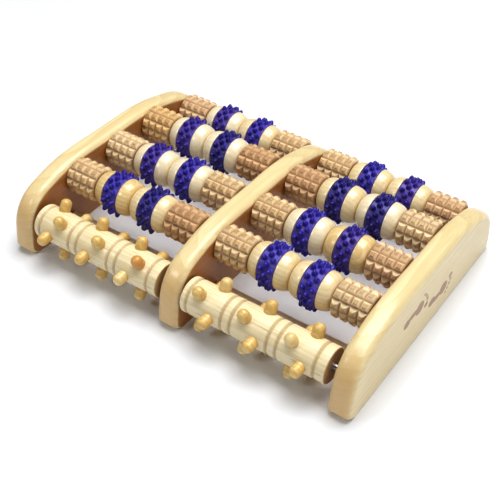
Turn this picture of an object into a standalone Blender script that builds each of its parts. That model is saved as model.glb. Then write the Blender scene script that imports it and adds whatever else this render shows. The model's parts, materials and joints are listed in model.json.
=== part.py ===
"""Wooden foot massage roller: arched boards on steel rods, with free-turning rollers, wheels and dowels.

The three boards stand on the floor at z = 0 and carry five rods along X. Four rods hold, in each bay
between two boards, a knurled roller, two rubber-ringed wheels and a second knurled roller. The fifth
rod, at the front (-Y), holds one dowel with glued-in pegs in each bay, with a flat rail behind it.
Units are metres and +Z is up. The origin is below the middle of the object's box, on the floor.
"""

from math import atan2, cos, hypot, pi, radians, sin

import bmesh
import bpy
from mathutils import Matrix, Vector

COLLECTION = "foot_massage_roller"
GAP = 0.0003                        # clearance between pieces that touch or run on each other

# Boards
WIDTH = 0.290                       # over the outer faces of the end boards
BOARD_THICK = 0.017
BOARD_ROUND = 0.0055                # rounding of the arched edges
BOARD_ROUND_STEPS = 3
BOARD_CURVE_STEPS = 4               # segments between two outline points
BOARD_REAR = 0.105                  # half the board's depth
# Outline (depth, height) from the front foot over the arch to the rear foot, about the board's middle
BOARD_OUTLINE = (
    (-0.1045, 0.0000),
    (-0.1050, 0.0120),
    (-0.0965, 0.0395),
    (-0.0740, 0.0520),
    (-0.0040, 0.0570),
    (0.0630, 0.0513),
    (0.0965, 0.0355),
    (0.1050, 0.0110),
    (0.1045, 0.0000),
)

# Rods, and the places of their axes as (depth, height) about the board's middle
ROD_R = 0.0025
BORE_R = ROD_R + GAP
ROD_SIDES = 12
ROD_SEAT = 0.012                    # how far a rod reaches into each end board
DOWEL_AXIS = (-0.0890, 0.0273)
ROW_AXES = {
    "a": (-0.0491, 0.0446),
    "b": (-0.0055, 0.0446),
    "c": (0.0381, 0.0446),
    "d": (0.0840, 0.0314),
}

# Knurled roller
KNURL_LENGTH = 0.0264
KNURL_TIP_R = 0.0142
KNURL_ROOT_R = 0.0114
KNURL_ROWS = 4                      # teeth along the roller
KNURL_TEETH = 10                    # teeth around the roller

# Wheel: a turned wooden core with a rubber ring in its seat
WHEEL_LENGTH = 0.0326
CORE_SIDES = 14
CORE_END_R = 0.0090
CORE_SHOULDER_R = 0.0126
CORE_SHOULDER_X = 0.0132
CORE_RIM_R = 0.0141
SEAT_R = 0.0120
SEAT_HALF = 0.0069
RING_BASE_R = 0.0140
RING_TIP_R = 0.0175
RING_HALF = SEAT_HALF - GAP
RING_ROWS = 3                       # rows of spikes across the ring
RING_SPIKES = 12                    # spikes around each row

# Pegged dowel
DOWEL_R = 0.0130
DOWEL_LENGTH = 0.1130
DOWEL_X = {"left": 0.0006, "right": -0.0016}   # where each dowel lies along its rod, in its bay
DOWEL_SIDES = 16
DOWEL_CHAMFER = 0.0010
PATTERN_X = -0.0017                 # middle of the grooves and pegs, about the dowel's own middle
SEGMENT_PITCH = 0.0360
BAND_HALF = 0.0036                  # half the width of the plain band between two segments
COLLAR_X = 0.0499                   # groove that sets off the end collar
GROOVE_HALF = 0.0011
GROOVE_DEPTH = 0.0011
PEG_R = 0.00425
PEG_OUT = 0.0090
PEG_SIDES = 8
PEG_ROOT_R = 0.0095                 # how deep a peg starts, measured from the dowel's axis
PEG_OFFSET = 0.0050                 # the two rings of three pegs lie this far from the segment's middle

# Rail behind each dowel
RAIL_REAR = -0.0565
RAIL_DEPTH = 0.0120
RAIL_BOTTOM = 0.0035
RAIL_TOP = 0.0140
RAIL_BEVEL = 0.0008

# Depth that puts the middle of the object's box over the origin
FRONT = DOWEL_AXIS[0] - DOWEL_R - PEG_OUT
CENTRE_Y = -(FRONT + BOARD_REAR) / 2

TURN_TO_X = (0, pi / 2, 0)          # lays a shape's own Z along world X
BAY = (WIDTH - 3 * BOARD_THICK) / 2
BAY_CENTRES = {"left": -(BOARD_THICK + BAY) / 2, "right": (BOARD_THICK + BAY) / 2}

# sRGB colour, roughness, metallic
FINISHES = {
    "board_wood": ((0.93, 0.85, 0.64), 0.35, 0.0),
    "knurl_wood": ((0.82, 0.64, 0.45), 0.60, 0.0),
    "wheel_wood": ((0.91, 0.84, 0.64), 0.40, 0.0),
    "dowel_wood": ((0.93, 0.87, 0.68), 0.50, 0.0),
    "rail_wood": ((0.90, 0.80, 0.62), 0.55, 0.0),
    "ring_rubber": ((0.19, 0.13, 0.61), 0.50, 0.0),
    "rod_steel": ((0.72, 0.72, 0.74), 0.30, 1.0),
}


def linear(channel):
    """Convert one sRGB channel to linear light."""
    return channel / 12.92 if channel <= 0.04045 else ((channel + 0.055) / 1.055) ** 2.4


def make_material(node, finish):
    """Return a Principled material of the given finish for one sub-part."""
    colour, roughness, metallic = FINISHES[finish]
    material = bpy.data.materials.new(f"{node}_{finish}")
    material.use_nodes = True
    shader = material.node_tree.nodes["Principled BSDF"]
    shader.inputs["Base Color"].default_value = [linear(c) for c in colour] + [1.0]
    shader.inputs["Roughness"].default_value = roughness
    shader.inputs["Metallic"].default_value = metallic
    return material


def clear_scene():
    """Remove every object that the start-up scene holds."""
    for item in list(bpy.data.objects):
        bpy.data.objects.remove(item, do_unlink=True)


def make_collection(name):
    """Return a new collection linked to the scene."""
    collection = bpy.data.collections.new(name)
    bpy.context.scene.collection.children.link(collection)
    return collection


def add_object(name, mesh, collection, location=(0, 0, 0), rotation=(0, 0, 0), parent=None):
    """Place a mesh, or an empty where mesh is None, in a collection."""
    item = bpy.data.objects.new(name, mesh)
    item.location = location
    item.rotation_euler = rotation
    item.parent = parent
    collection.objects.link(item)
    return item


def finished(item, finish):
    """Give an object its own material through an object-linked slot and return the object."""
    if not item.data.materials:
        item.data.materials.append(None)
    item.material_slots[0].link = "OBJECT"
    item.material_slots[0].material = make_material(item.name, finish)
    return item


def evaluated_mesh(item, name):
    """Return a mesh of an object with its modifiers applied, and remove the object."""
    bpy.context.view_layer.update()
    depsgraph = bpy.context.evaluated_depsgraph_get()
    mesh = bpy.data.meshes.new_from_object(item.evaluated_get(depsgraph))
    mesh.name = name
    bpy.data.objects.remove(item, do_unlink=True)
    return mesh


def turned_mesh(name, profile, steps, collection, closed=True):
    """Turn a profile of (radius, z) points about Z; its outer side runs from top to bottom."""
    mesh = bpy.data.meshes.new(name + "_profile")
    edges = [(i, i + 1) for i in range(len(profile) - 1)]
    if closed:
        edges.append((len(profile) - 1, 0))
    mesh.from_pydata([(radius, 0, z) for radius, z in profile], edges, [])
    item = add_object(name + "_profile", mesh, collection)
    screw = item.modifiers.new("turn", "SCREW")
    screw.axis = "Z"
    screw.angle = 2 * pi
    screw.steps = steps
    screw.render_steps = steps
    screw.use_merge_vertices = True
    screw.merge_threshold = 0.00001
    return evaluated_mesh(item, name)


def shade_round(mesh):
    """Shade a turned mesh smooth, with sharp edges where it turns a corner."""
    mesh.shade_smooth()
    mesh.set_sharp_from_angle(angle=radians(35))


def cut_teeth(mesh, steps, heights, root_r, is_tooth):
    """Pull every outer vertex that isn't a tooth in to the root radius.

    heights are the z values of the rows of vertices that may carry teeth, and is_tooth says from
    the row and the step around the axis whether a vertex keeps its radius.
    """
    for vertex in mesh.vertices:
        radius = hypot(vertex.co.x, vertex.co.y)
        if radius < root_r + GAP:
            continue
        row = min(range(len(heights)), key=lambda i: abs(heights[i] - vertex.co.z))
        step = round(atan2(vertex.co.y, vertex.co.x) * steps / (2 * pi))
        if not is_tooth(row, step):
            vertex.co.x *= root_r / radius
            vertex.co.y *= root_r / radius


def knurl_mesh(collection):
    """Return the knurled roller: rows of pyramid teeth between crossing V-grooves, on a bore."""
    pitch = KNURL_LENGTH / KNURL_ROWS
    top = KNURL_LENGTH / 2
    tips = [top - pitch * (i + 0.5) for i in range(KNURL_ROWS)]
    profile = [(KNURL_ROOT_R, top)]
    for tip in tips:
        profile.append((KNURL_TIP_R, tip))
        profile.append((KNURL_ROOT_R, tip - pitch / 2))
    profile += [(BORE_R, -top), (BORE_R, top)]
    steps = 2 * KNURL_TEETH
    mesh = turned_mesh("knurl", profile, steps, collection)
    cut_teeth(mesh, steps, tips, KNURL_ROOT_R, lambda row, step: step % 2 == 0)
    return mesh


def core_mesh(collection):
    """Return the wheel's turned core: two domed ends and a seat for the ring, on a bore."""
    end = WHEEL_LENGTH / 2
    upper = [
        (CORE_END_R, end),
        (CORE_SHOULDER_R, CORE_SHOULDER_X),
        (CORE_RIM_R, SEAT_HALF),
        (SEAT_R, SEAT_HALF),
    ]
    lower = [(radius, -z) for radius, z in reversed(upper)]
    mesh = turned_mesh("core", upper + lower + [(BORE_R, -end), (BORE_R, end)], CORE_SIDES, collection)
    shade_round(mesh)
    return mesh


def ring_mesh(collection):
    """Return the rubber ring with staggered rows of spikes around it."""
    steps = 2 * RING_SPIKES
    bore = (SEAT_R + GAP) / cos(pi / steps)     # so that its flats, too, clear the seat
    pitch = 2 * RING_HALF / (RING_ROWS + 1)
    rows = [RING_HALF - pitch * (i + 1) for i in range(RING_ROWS)]
    profile = [(RING_BASE_R, RING_HALF)]
    profile += [(RING_TIP_R, z) for z in rows]
    profile += [(RING_BASE_R, -RING_HALF), (bore, -RING_HALF), (bore, RING_HALF)]
    mesh = turned_mesh("ring", profile, steps, collection)
    cut_teeth(mesh, steps, rows, RING_BASE_R, lambda row, step: (row + step) % 2 == 0)
    return mesh


def dowel_profile():
    """Return the dowel's closed profile: chamfered ends, grooved collars and bands, and a bore."""
    end = DOWEL_LENGTH / 2
    half_pitch = SEGMENT_PITCH / 2
    places = [half_pitch - BAND_HALF, half_pitch + BAND_HALF, COLLAR_X]
    grooves = [PATTERN_X + x for x in sorted(places + [-x for x in places], reverse=True)]
    profile = [(DOWEL_R - DOWEL_CHAMFER, end), (DOWEL_R, end - DOWEL_CHAMFER)]
    for x in grooves:
        profile.append((DOWEL_R, x + GROOVE_HALF))
        profile.append((DOWEL_R - GROOVE_DEPTH, x))
        profile.append((DOWEL_R, x - GROOVE_HALF))
    profile += [(DOWEL_R, DOWEL_CHAMFER - end), (DOWEL_R - DOWEL_CHAMFER, -end)]
    return profile + [(BORE_R, -end), (BORE_R, end)]


def peg_mesh(collection):
    """Return one round-nosed peg along +Z, at its distance from the dowel's axis."""
    centre = DOWEL_R + PEG_OUT - PEG_R
    nose = radians(45)
    profile = [
        (0.0, centre + PEG_R),
        (PEG_R * cos(nose), centre + PEG_R * sin(nose)),
        (PEG_R, centre),
        (PEG_R, PEG_ROOT_R),
        (0.0, PEG_ROOT_R),
    ]
    return turned_mesh("peg", profile, PEG_SIDES, collection, closed=False)


def peg_places(side):
    """Yield (distance along the dowel, angle about it) of every peg on one bay's dowel.

    The angle starts at the rear and rises over the top. Each segment has two rings of three pegs,
    half a pitch apart, and the two dowels are fitted end for end.
    """
    facing = -1 if side == "left" else 1
    for segment in (-1, 0, 1):
        for ring in (-1, 1):
            for turn in range(3):
                angle = 120 * turn + (60 if ring == facing else 0)
                along = PATTERN_X + segment * SEGMENT_PITCH + ring * PEG_OFFSET
                yield along, radians(angle)


def pegs_mesh(side, peg):
    """Return all the pegs of one dowel, set about the Z axis of the turned dowel."""
    shape = bmesh.new()
    for along, angle in peg_places(side):
        known = set(shape.verts)
        shape.from_mesh(peg)
        fresh = [vertex for vertex in shape.verts if vertex not in known]
        # The dowel's own Z lies along world X and its own X points down
        outward = Vector((-sin(angle), cos(angle), 0.0))
        turn = Vector((0, 0, 1)).rotation_difference(outward).to_matrix().to_4x4()
        place = Matrix.Translation((0, 0, along)) @ turn
        bmesh.ops.transform(shape, matrix=place, verts=fresh)
    mesh = bpy.data.meshes.new(f"pegs_{side}")
    shape.to_mesh(mesh)
    shape.free()
    return mesh


def make_cutter(name, mesh, cutters, location=(0, 0, 0), rotation=(0, 0, 0)):
    """Place a hidden helper object for a Boolean."""
    item = add_object(name, mesh, cutters, location, rotation)
    item.hide_render = True
    item.display_type = "WIRE"
    return item


def add_boolean(item, other, operation):
    """Add an exact Boolean with another object."""
    boolean = item.modifiers.new(f"{operation.lower()}_{other.name}", "BOOLEAN")
    boolean.operation = operation
    boolean.solver = "EXACT"
    boolean.object = other


def along_x(place, x=0.0):
    """Return the world location at x of an axis given as (depth, height)."""
    return (x, CENTRE_Y + place[0], place[1])


def cylinder_mesh(name, radius, length, sides):
    """Return a closed cylinder along Z."""
    shape = bmesh.new()
    bmesh.ops.create_cone(
        shape, cap_ends=True, segments=sides, radius1=radius, radius2=radius, depth=length
    )
    mesh = bpy.data.meshes.new(name)
    shape.to_mesh(mesh)
    shape.free()
    return mesh


def board_mesh(collection):
    """Return a board's solid along Z from its outline, with the arched edges marked for rounding."""
    curve = bpy.data.curves.new("board_outline", "CURVE")
    curve.dimensions = "2D"
    curve.fill_mode = "BOTH"
    curve.extrude = BOARD_THICK / 2
    curve.resolution_u = BOARD_CURVE_STEPS
    spline = curve.splines.new("BEZIER")
    spline.bezier_points.add(len(BOARD_OUTLINE) - 1)
    spline.use_cyclic_u = True
    for point, place in zip(spline.bezier_points, BOARD_OUTLINE):
        point.co = (place[0], place[1], 0)
        kind = "VECTOR" if place[1] == 0 else "AUTO"
        point.handle_left_type = kind
        point.handle_right_type = kind
    mesh = evaluated_mesh(add_object("board_outline", curve, collection), "board")
    shape = bmesh.new()
    shape.from_mesh(mesh)
    bmesh.ops.remove_doubles(shape, verts=shape.verts, dist=0.000001)
    bmesh.ops.dissolve_limit(
        shape, angle_limit=radians(0.5), verts=shape.verts, edges=shape.edges
    )
    weight = shape.edges.layers.float.new("bevel_weight_edge")
    for edge in shape.edges:
        on_one_face = abs(edge.verts[0].co.z - edge.verts[1].co.z) < GAP
        on_arch = max(vertex.co.y for vertex in edge.verts) > GAP
        edge[weight] = 1.0 if on_one_face and on_arch else 0.0
    shape.to_mesh(mesh)
    shape.free()
    return mesh


def make_boards(parts, cutters):
    """Make the three boards, with a bore for every rod."""
    mesh = board_mesh(parts)
    bores = []
    for row, place in rod_axes().items():
        cylinder = cylinder_mesh(f"bore_{row}", BORE_R, rod_length() + 2 * GAP, ROD_SIDES)
        bores.append(make_cutter(f"bore_{row}", cylinder, cutters, along_x(place), TURN_TO_X))
    offset = (WIDTH - BOARD_THICK) / 2
    for name, x in (("board_left", -offset), ("board_centre", 0.0), ("board_right", offset)):
        # Turned so that the outline's depth lies along Y and its height along Z
        board = add_object(name, mesh.copy(), parts, (x, CENTRE_Y, 0), (pi / 2, 0, pi / 2))
        bevel = board.modifiers.new("rounding", "BEVEL")
        bevel.limit_method = "WEIGHT"
        bevel.width = BOARD_ROUND
        bevel.segments = BOARD_ROUND_STEPS
        for bore in bores:
            add_boolean(board, bore, "DIFFERENCE")
        shade_round(board.data)
        finished(board, "board_wood")


def rod_axes():
    """Return the axis of every rod by its row's name."""
    return {"front": DOWEL_AXIS, **ROW_AXES}


def rod_length():
    """Return a rod's length: both bays, the centre board and a seat in each end board."""
    return WIDTH - 2 * BOARD_THICK + 2 * ROD_SEAT


def make_rods(parts):
    """Make the five steel rods."""
    for row, place in rod_axes().items():
        mesh = cylinder_mesh(f"rod_{row}", ROD_R, rod_length(), ROD_SIDES)
        shade_round(mesh)
        finished(add_object(f"rod_{row}", mesh, parts, along_x(place), TURN_TO_X), "rod_steel")


def make_rails(parts):
    """Make the flat rail behind each dowel."""
    size = Vector((BAY - 2 * GAP, RAIL_DEPTH, RAIL_TOP - RAIL_BOTTOM))
    for side, x in BAY_CENTRES.items():
        shape = bmesh.new()
        bmesh.ops.create_cube(shape, size=1.0)
        bmesh.ops.scale(shape, vec=size, verts=shape.verts)
        mesh = bpy.data.meshes.new(f"rail_{side}")
        shape.to_mesh(mesh)
        shape.free()
        middle = (RAIL_REAR - RAIL_DEPTH / 2, (RAIL_TOP + RAIL_BOTTOM) / 2)
        rail = add_object(f"rail_{side}", mesh, parts, along_x(middle, x))
        bevel = rail.modifiers.new("edges", "BEVEL")
        bevel.width = RAIL_BEVEL
        bevel.segments = 1
        finished(rail, "rail_wood")


def make_dowels(parts, cutters):
    """Make the two pegged dowels on the front rod."""
    peg = peg_mesh(parts)
    for side, x in BAY_CENTRES.items():
        mesh = turned_mesh(f"dowel_{side}", dowel_profile(), DOWEL_SIDES, parts)
        shade_round(mesh)
        place = along_x(DOWEL_AXIS, x + DOWEL_X[side])
        dowel = add_object(f"dowel_{side}", mesh, parts, place, TURN_TO_X)
        pegs = make_cutter(f"pegs_{side}", pegs_mesh(side, peg), cutters, place, TURN_TO_X)
        add_boolean(dowel, pegs, "UNION")
        finished(dowel, "dowel_wood")


def make_rows(parts):
    """Make the rollers and wheels of the four rows, in both bays."""
    knurl = knurl_mesh(parts)
    core = core_mesh(parts)
    ring = ring_mesh(parts)
    wheel_x = (WHEEL_LENGTH + GAP) / 2
    knurl_x = GAP / 2 + WHEEL_LENGTH + GAP + KNURL_LENGTH / 2
    for row, axis in ROW_AXES.items():
        for side, middle in BAY_CENTRES.items():
            for end in (-1, 1):
                # The outer end of a bay is the one beside the end board
                which = "outer" if end * middle > 0 else "inner"
                tag = f"{row}_{side}_{which}"
                place = along_x(axis, middle + end * knurl_x)
                finished(add_object(f"knurl_{tag}", knurl, parts, place, TURN_TO_X), "knurl_wood")
                place = along_x(axis, middle + end * wheel_x)
                wheel = add_object(f"wheel_{tag}", None, parts, place, TURN_TO_X)
                finished(add_object(f"wheel_{tag}_core", core, parts, parent=wheel), "wheel_wood")
                finished(add_object(f"wheel_{tag}_ring", ring, parts, parent=wheel), "ring_rubber")


def main():
    """Build the whole object."""
    clear_scene()
    parts = make_collection(COLLECTION)
    cutters = make_collection("cutters")
    make_boards(parts, cutters)
    make_rods(parts)
    make_rails(parts)
    make_dowels(parts, cutters)
    make_rows(parts)


main()
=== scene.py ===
"""Looks of a wooden foot massage roller: arched boards, turned dowels, knurled rollers and spiked wheels.

Lengths are in metres, or in millimetres where a name ends in _mm. +Z is up and the floor is at z = 0. The
rods run along X, and the two pegged dowels are at the front (-Y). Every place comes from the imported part.
"""

import json
import logging
from collections.abc import Iterator, Sequence
from dataclasses import dataclass, field, replace
from enum import Enum
from math import cos, hypot, pi, radians, sin
from random import Random

import bmesh
import bpy
from mathutils import Euler, Matrix, Vector

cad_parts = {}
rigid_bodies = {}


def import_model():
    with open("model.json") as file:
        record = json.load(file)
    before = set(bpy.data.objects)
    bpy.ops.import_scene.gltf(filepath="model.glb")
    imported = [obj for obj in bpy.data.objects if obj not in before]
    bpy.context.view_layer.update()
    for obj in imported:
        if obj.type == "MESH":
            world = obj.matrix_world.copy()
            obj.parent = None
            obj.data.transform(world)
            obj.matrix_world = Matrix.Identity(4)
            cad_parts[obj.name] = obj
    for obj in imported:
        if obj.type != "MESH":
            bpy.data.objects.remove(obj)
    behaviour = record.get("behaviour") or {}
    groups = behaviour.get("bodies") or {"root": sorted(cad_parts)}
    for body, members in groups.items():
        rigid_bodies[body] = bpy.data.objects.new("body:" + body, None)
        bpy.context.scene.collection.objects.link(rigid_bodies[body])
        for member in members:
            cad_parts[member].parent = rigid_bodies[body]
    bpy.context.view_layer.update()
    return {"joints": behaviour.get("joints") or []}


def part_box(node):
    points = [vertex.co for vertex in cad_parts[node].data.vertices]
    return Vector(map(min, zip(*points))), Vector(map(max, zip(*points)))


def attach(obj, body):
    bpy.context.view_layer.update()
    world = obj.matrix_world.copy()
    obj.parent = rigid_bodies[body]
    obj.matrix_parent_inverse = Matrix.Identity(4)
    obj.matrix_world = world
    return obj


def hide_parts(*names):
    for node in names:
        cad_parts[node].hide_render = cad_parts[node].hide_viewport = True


LOG = logging.getLogger("foot_roller")
MM = 0.001
MM_PER_M = 1000.0
CLEARANCE = 0.0003                  # gap between pieces that run on each other
ROD_R = 0.0025
BORE_R = ROD_R + CLEARANCE
WAVE_PERIOD = 2 * pi / 20           # a wave texture repeats this often at a scale of 1
CORE_SEEDS = 100                    # first seed of the wheel cores, clear of the rollers' own

# Places of the colour mix node's sockets
MIX_FACTOR, MIX_A, MIX_B, MIX_RESULT = 0, 6, 7, 2

Outline = list[tuple[float, float]]


# ---------------------------------------------------------------- node helpers


def linear_rgb(code: str) -> tuple[float, float, float, float]:
    """Turn an sRGB hex colour into linear light.

    Args:
        code: A colour such as "#E6D3A0".

    Returns:
        Red, green and blue in linear light, and an alpha of 1.
    """
    channels = [int(code[i : i + 2], 16) / 255 for i in (1, 3, 5)]
    light = [c / 12.92 if c <= 0.04045 else ((c + 0.055) / 1.055) ** 2.4 for c in channels]
    return light[0], light[1], light[2], 1.0


def add_node(
    tree: bpy.types.NodeTree,
    kind: str,
    settings: dict[str | int, object] | None = None,
    links: dict[str | int, bpy.types.NodeSocket] | None = None,
) -> bpy.types.Node:
    """Add one node with its settings and with what feeds it.

    Args:
        tree: The node tree of a material or of the world.
        kind: Blender's type name of the node.
        settings: Values of the node's properties, or of its inputs by name or place; "stops" is a list of
            (position, hex colour) pairs for a colour ramp.
        links: Outputs that feed the node's inputs, by the input's name or place.

    Returns:
        The new node.
    """
    node = tree.nodes.new(kind)
    for key, value in (settings or {}).items():
        if key == "stops":
            stops = node.color_ramp.elements
            while len(stops) < len(value):
                stops.new(1.0)
            for stop, (position, code) in zip(stops, value):
                stop.position = position
                stop.color = linear_rgb(code)
        elif isinstance(key, str) and hasattr(node, key):
            setattr(node, key, value)
        else:
            node.inputs[key].default_value = value
    for key, socket in (links or {}).items():
        tree.links.new(socket, node.inputs[key])
    return node


def new_material(name: str) -> tuple[bpy.types.Material, bpy.types.NodeTree, bpy.types.Node]:
    """Start a material with an empty tree and its output.

    Args:
        name: The material's name.

    Returns:
        The material, its node tree and its output node.
    """
    material = bpy.data.materials.new(name)
    material.use_nodes = True
    tree = material.node_tree
    tree.nodes.clear()
    return material, tree, add_node(tree, "ShaderNodeOutputMaterial")


def blend(
    tree: bpy.types.NodeTree,
    factor: bpy.types.NodeSocket,
    first: bpy.types.NodeSocket,
    second: bpy.types.NodeSocket | str,
    mode: str = "MIX",
) -> bpy.types.NodeSocket:
    """Blend a patterned colour with another one or with a plain one.

    Args:
        tree: The node tree.
        factor: Share of the second colour.
        first: The colour where the factor is 0.
        second: The colour where the factor is 1, as a socket or as a hex code.
        mode: Blender's name of the way they blend.

    Returns:
        The blended colour.
    """
    settings: dict[str | int, object] = {"data_type": "RGBA", "blend_type": mode}
    links = {MIX_FACTOR: factor, MIX_A: first}
    if isinstance(second, str):
        settings[MIX_B] = linear_rgb(second)
    else:
        links[MIX_B] = second
    return add_node(tree, "ShaderNodeMix", settings, links).outputs[MIX_RESULT]


# ---------------------------------------------------------------- finishes


class Grain(Enum):
    """Local axis that a piece's grain runs along."""

    X = 0
    Y = 1
    Z = 2

    def vector(self, along: float, across: float) -> tuple[float, float, float]:
        """Return a vector with one value along the grain and another across it."""
        return tuple(along if axis == self.value else across for axis in range(3))


class BayFaces(Enum):
    """Faces of a board that look into a bay, by where they look along X; these get painted shade."""

    HIGH = 1
    LOW = -1
    BOTH = 0


@dataclass(frozen=True)
class Depth:
    """Colour laid on a turned piece by distance from its axis: a fresh cut's own tone, painted shade low in
    the grooves and at the roots, or painted sheen.
    """

    colour: str
    deep_mm: float                  # distance from the axis where the colour is strongest
    clear_mm: float                 # distance from the axis where it has gone
    share: float = 0.8


@dataclass(frozen=True)
class FootMark:
    """Generic mark burnt into the outer face of a board: a trail of two bare footprints, toes to the rear."""

    steps: tuple[tuple[float, float, int], ...] = ((-0.0220, 0.0315, 1), (0.0160, 0.0215, -1))
    foot_length: float = 0.0340
    face_x: float = 0.0080          # only wood beyond this, on local X, is burnt
    scorch: str = "#8A4A1C"
    strength: float = 0.85
    # Pads of a left sole: middle along and across, half size along and across, as shares of its length
    pads: tuple[tuple[float, float, float, float], ...] = (
        (-0.36, 0.00, 0.150, 0.115),
        (-0.12, 0.045, 0.240, 0.080),
        (0.16, 0.015, 0.190, 0.165),
        (0.46, -0.125, 0.085, 0.072),
        (0.49, 0.010, 0.055, 0.046),
        (0.455, 0.105, 0.050, 0.042),
        (0.395, 0.190, 0.046, 0.038),
        (0.320, 0.260, 0.042, 0.034),
    )
    soft_from: float = 0.86         # share of a pad's size from which its edge fades

    def share(self, tree: bpy.types.NodeTree, coords: bpy.types.Node) -> bpy.types.NodeSocket:
        """Measure how far a point lies inside the mark.

        Args:
            tree: The node tree.
            coords: The texture coordinates.

        Returns:
            The share of the scorched colour.
        """
        nearest = None
        for along, up, side in self.steps:
            for middle, offset, half_long, half_wide in self.pads:
                size = Vector((half_long, half_wide)) * self.foot_length
                y = along + middle * self.foot_length
                z = up + side * offset * self.foot_length
                pad = add_node(
                    tree,
                    "ShaderNodeMapping",
                    {"Location": (0.0, -y / size.x, -z / size.y), "Scale": (0.0, 1 / size.x, 1 / size.y)},
                    {"Vector": coords.outputs["Object"]},
                )
                distance = add_node(
                    tree, "ShaderNodeVectorMath", {"operation": "LENGTH"}, {0: pad.outputs["Vector"]}
                ).outputs["Value"]
                if nearest:
                    distance = add_node(
                        tree, "ShaderNodeMath", {"operation": "MINIMUM"}, {0: nearest, 1: distance}
                    ).outputs["Value"]
                nearest = distance
        inside = add_node(
            tree,
            "ShaderNodeMapRange",
            {"From Min": self.soft_from, "From Max": 1.0, "To Min": self.strength, "To Max": 0.0},
            {"Value": nearest},
        )
        place = add_node(tree, "ShaderNodeSeparateXYZ", links={0: coords.outputs["Object"]})
        on_face = add_node(
            tree, "ShaderNodeMath", {"operation": "GREATER_THAN", 1: self.face_x}, {0: place.outputs["X"]}
        )
        return add_node(
            tree,
            "ShaderNodeMath",
            {"operation": "MULTIPLY"},
            {0: inside.outputs["Result"], 1: on_face.outputs["Value"]},
        ).outputs["Value"]


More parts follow.
